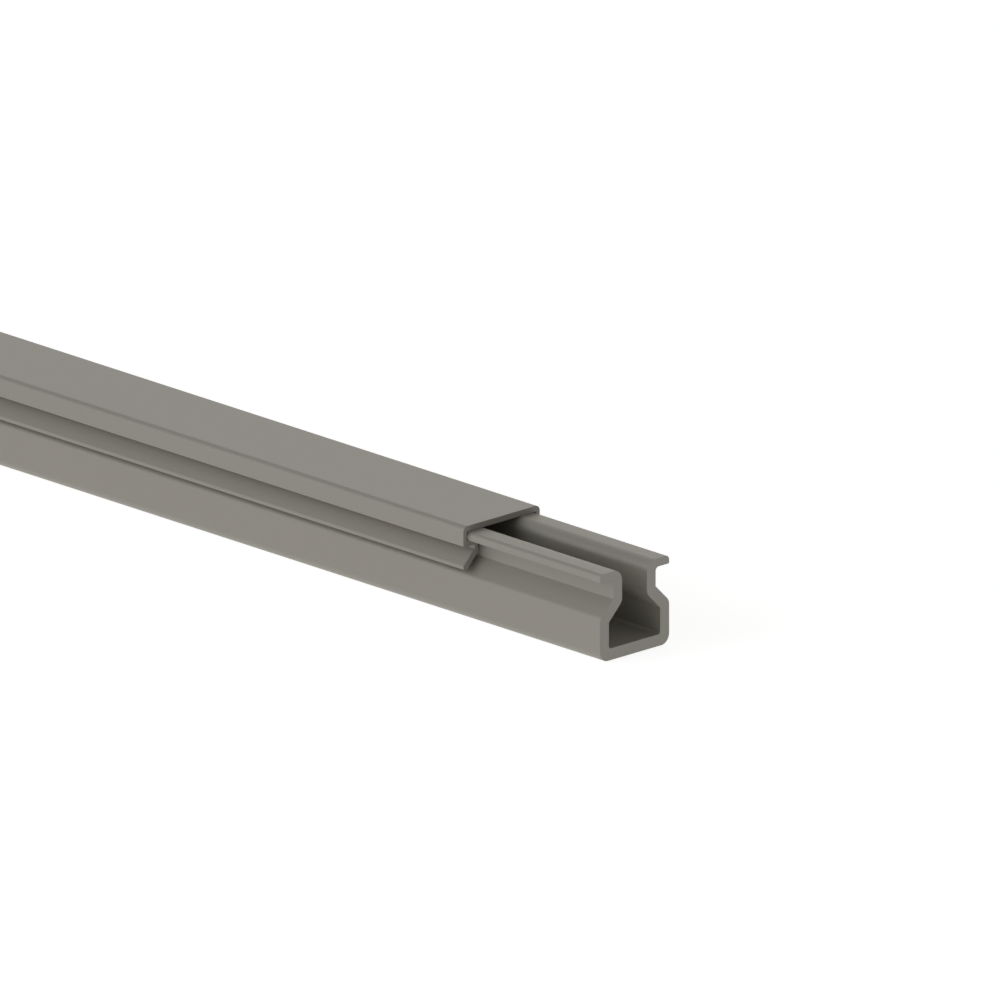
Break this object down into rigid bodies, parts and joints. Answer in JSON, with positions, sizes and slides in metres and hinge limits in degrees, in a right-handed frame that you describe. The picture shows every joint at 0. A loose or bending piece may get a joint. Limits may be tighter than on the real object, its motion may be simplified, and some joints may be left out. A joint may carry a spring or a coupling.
{
  "type": "cord cover raceway",
  "caption": "Square mini trunking for cords: a necked base channel with two flanges and a clip-on cover that is slid back from one end.",
  "frame": {"origin": "centre of the base channel's flat back", "axes": "+X along the length to the end shown open, +Y across the width, +Z out of the wall towards the cover"},
  "size_m": [2.0293, 0.016, 0.015],
  "materials": {
    "base_pvc": "satin",
    "cover_pvc": "satin"
  },
  "bodies": {
    "base": {"base_channel": "base_pvc"},
    "cover": {"cover": "cover_pvc"}
  },
  "joints": [
    {"name": "cover_slide", "type": "slide", "parent": "base", "child": "cover", "axis": [1, 0, 0], "range_m": [-1.94, 2]}
  ]
}
